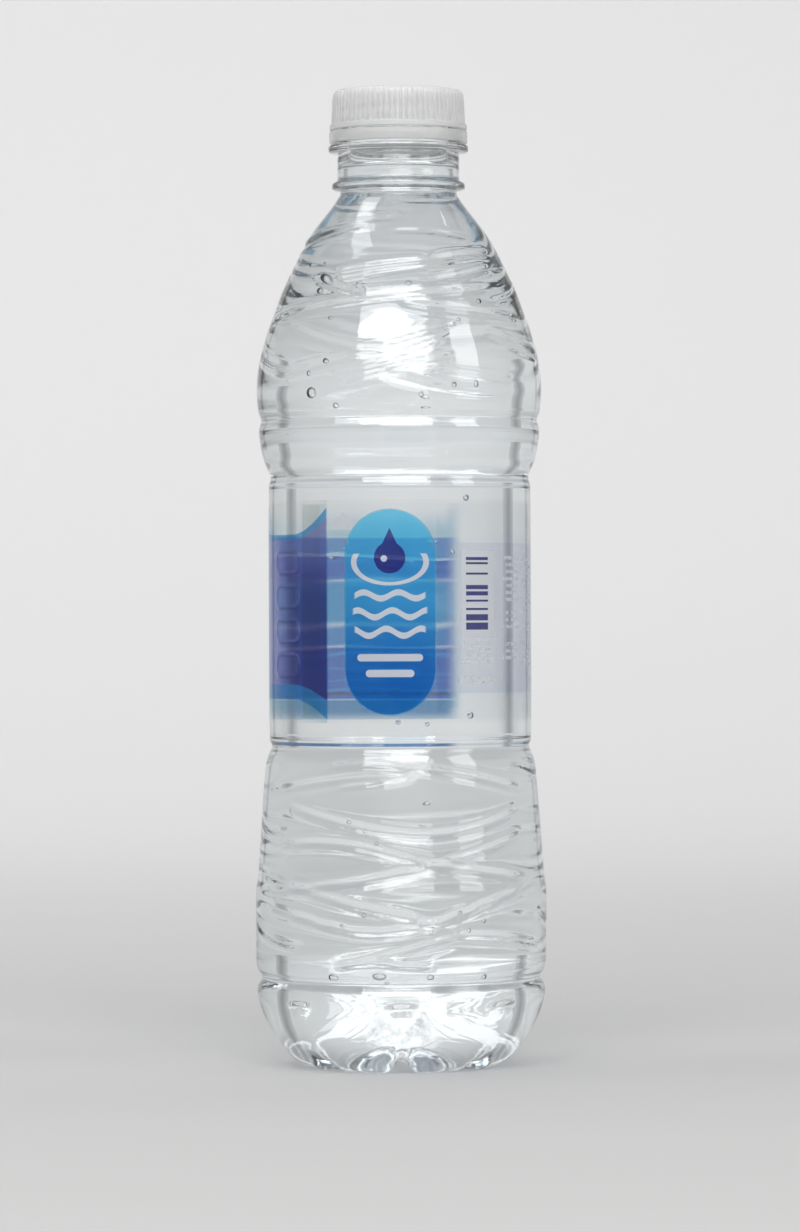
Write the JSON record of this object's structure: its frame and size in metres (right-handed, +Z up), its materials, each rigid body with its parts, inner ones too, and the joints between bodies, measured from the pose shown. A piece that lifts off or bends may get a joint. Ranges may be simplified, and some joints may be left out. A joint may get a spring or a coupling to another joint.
{
  "type": "water_bottle",
  "caption": "Sealed clear plastic water bottle with a waisted round body, diagonal embossing, knurled screw cap, tamper band and wrap-round film label, filled with water",
  "frame": {"origin": "centre of the base plane, on the bottle's axis", "axes": "+Z up the axis to the cap, front of the label faces -Y, X to the right seen from the front"},
  "size_m": [0.0678, 0.0678, 0.2274],
  "materials": {
    "clear_pet": "clear blow-moulded PET",
    "water": "still drinking water",
    "natural_cap": "translucent natural polyethylene",
    "liner_white": "soft sealing disc",
    "printed_film": "clear film printed in blues",
    "glue": "clear hot-melt strip"
  },
  "bodies": {
    "bottle": {"bottle_shell": "clear_pet", "water": "water", "label_film": "printed_film", "label_glue": "glue"},
    "liner_carrier": {"cap_liner": "liner_white"},
    "cap": {"cap_shell": "natural_cap"},
    "band": {"tamper_band": "natural_cap", "tamper_bridges": "natural_cap"}
  },
  "joints": [
    {"name": "cap_turn", "type": "hinge", "parent": "liner_carrier", "child": "cap", "pos_m": [0, 0, 0.2225], "axis": [0, 0, 1], "range_deg": [0, 1080]},
    {"name": "cap_rise", "type": "slide", "parent": "bottle", "child": "liner_carrier", "axis": [0, 0, 1], "range_m": [0, 0.0081]},
    {"name": "band_spin", "type": "hinge", "parent": "bottle", "child": "band", "pos_m": [0, 0, 0.2163], "axis": [0, 0, 1], "continuous": true}
  ],
  "couplings": [
    {"joint": "cap_rise", "follows": "cap_turn", "m_per_rad": 0.00042972}
  ]
}
